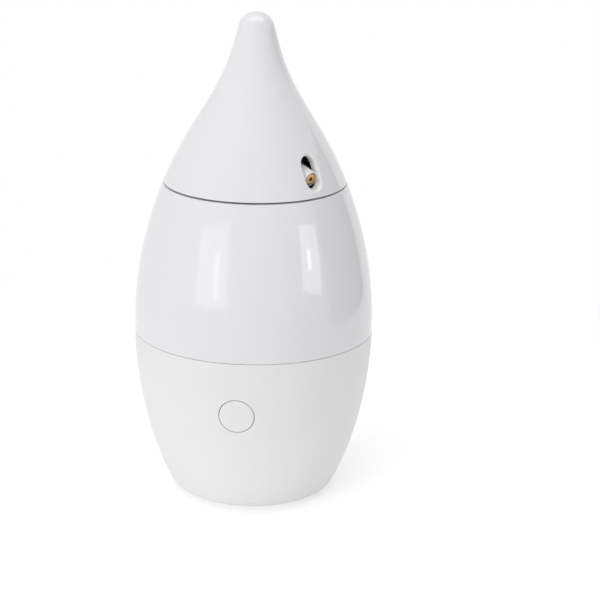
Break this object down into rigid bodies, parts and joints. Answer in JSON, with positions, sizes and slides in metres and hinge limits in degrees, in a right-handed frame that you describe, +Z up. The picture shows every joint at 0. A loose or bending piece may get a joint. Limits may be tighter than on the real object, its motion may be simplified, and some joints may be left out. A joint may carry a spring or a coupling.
{
  "type": "automatic cat laser toy",
  "caption": "Teardrop-shaped free-standing pet toy: a motor-driven head turns on a round base and carries tilting laser pointers in slots; power button on the front.",
  "frame": {"origin": "centre of the resting face, on the axis of the turning head", "axes": "+Z up along the axis of the form; the power button faces -Y; +X to the right as seen from the front"},
  "size_m": [0.105, 0.105, 0.2129],
  "materials": {
    "satin_white_plastic": "satin moulded ABS",
    "gloss_white_plastic": "polished moulded ABS",
    "sleeve_white_plastic": "fine satin",
    "grey_rubber": "matte",
    "black_plastic": "fine spark texture",
    "grey_plastic": "moulded",
    "acetal": "moulded",
    "brass": "turned",
    "zinc_steel": "zinc plated",
    "cell_jacket": "printed film sleeve",
    "nickel_spring": "nickel plated wire",
    "nickel_strip": "stamped strip",
    "board_green": "solder mask",
    "copper": "rolled copper alloy",
    "chip_black": "moulded epoxy",
    "capacitor_can": "drawn can",
    "connector_nylon": "natural nylon",
    "pin_steel": "ground",
    "motor_can": "drawn and plated",
    "black_sleeve": "shrunk sleeve",
    "lens_glass": "polished",
    "diode_can": "gold flashed"
  },
  "bodies": {
    "base": {"base_housing": "satin_white_plastic", "batteries": "cell_jacket", "battery_door": "satin_white_plastic", "battery_holder": "black_plastic", "battery_springs": "nickel_spring", "board_screws": "zinc_steel", "body_shell": "gloss_white_plastic", "brush_block": "black_plastic", "brushes": "copper", "capacitors": "capacitor_can", "chassis": "grey_plastic", "connectors": "connector_nylon", "control_chip": "chip_black", "door_contacts": "nickel_strip", "door_screw": "zinc_steel", "housing_screws": "zinc_steel", "idler_pin": "pin_steel", "main_board": "board_green", "motor_end_cap": "connector_nylon", "motor_screws": "zinc_steel", "pan_bush": "acetal", "pan_motor": "motor_can", "plate_screws": "zinc_steel", "rubber_feet": "grey_rubber", "tact_switch": "black_plastic", "top_contacts": "nickel_strip"},
    "power_button": {"power_button": "satin_white_plastic", "switch_plunger": "black_plastic"},
    "motor_rotor": {"motor_shaft": "pin_steel", "motor_pinion": "brass"},
    "idler": {"idler_gear": "acetal"},
    "head": {"head_cover": "gloss_white_plastic", "turntable": "grey_plastic", "pan_gear": "acetal", "head_screws": "zinc_steel", "retaining_clip": "pin_steel", "slip_ring_disc": "board_green", "slip_rings": "copper", "tilt_frame": "grey_plastic", "frame_screws": "zinc_steel", "pivot_pins": "pin_steel", "tilt_motor": "motor_can", "head_board": "board_green", "head_board_screws": "zinc_steel", "laser_driver": "chip_black", "head_connector": "connector_nylon"},
    "laser_a": {"laser_holder_a": "sleeve_white_plastic", "laser_barrel_a": "brass", "insulating_ring_a": "black_sleeve", "laser_lens_a": "lens_glass", "laser_diode_a": "diode_can"},
    "laser_b": {"laser_holder_b": "sleeve_white_plastic", "laser_barrel_b": "brass", "insulating_ring_b": "black_sleeve", "laser_lens_b": "lens_glass", "laser_diode_b": "diode_can"},
    "tilt_rotor": {"tilt_shaft": "pin_steel", "tilt_pinion": "brass"}
  },
  "joints": [
    {"name": "button_press", "type": "slide", "parent": "base", "child": "power_button", "axis": [0, 1, 0], "range_m": [0, 0.0006], "stiffness_N_per_m": 600, "springref_m": -0.001},
    {"name": "head_pan", "type": "hinge", "parent": "base", "child": "head", "pos_m": [0, 0, 0.14], "axis": [0, 0, 1], "continuous": true},
    {"name": "idler_spin", "type": "hinge", "parent": "base", "child": "idler", "pos_m": [-0.0144, 0.02494, 0.125], "axis": [0, 0, 1], "continuous": true},
    {"name": "motor_spin", "type": "hinge", "parent": "base", "child": "motor_rotor", "pos_m": [0, 0.02074, 0.12], "axis": [0, 0, 1], "continuous": true},
    {"name": "laser_a_tilt", "type": "hinge", "parent": "head", "child": "laser_a", "pos_m": [0.01295, -0.0107, 0.15234], "axis": [-0.6368, -0.7711, 0], "range_deg": [0, 12]},
    {"name": "laser_b_tilt", "type": "hinge", "parent": "head", "child": "laser_b", "pos_m": [-0.01295, 0.0107, 0.15234], "axis": [-0.6368, -0.7711, 0], "range_deg": [-12, 0]},
    {"name": "tilt_motor_spin", "type": "hinge", "parent": "head", "child": "tilt_rotor", "pos_m": [0.00493, -0.00408, 0.17035], "axis": [-0.6368, -0.7711, 0], "range_deg": [-54, 0]}
  ],
  "couplings": [
    {"joint": "idler_spin", "follows": "head_pan", "ratio": -5},
    {"joint": "motor_spin", "follows": "head_pan", "ratio": 20},
    {"joint": "laser_b_tilt", "follows": "laser_a_tilt", "ratio": -1},
    {"joint": "tilt_motor_spin", "follows": "laser_a_tilt", "ratio": -4.2}
  ]
}
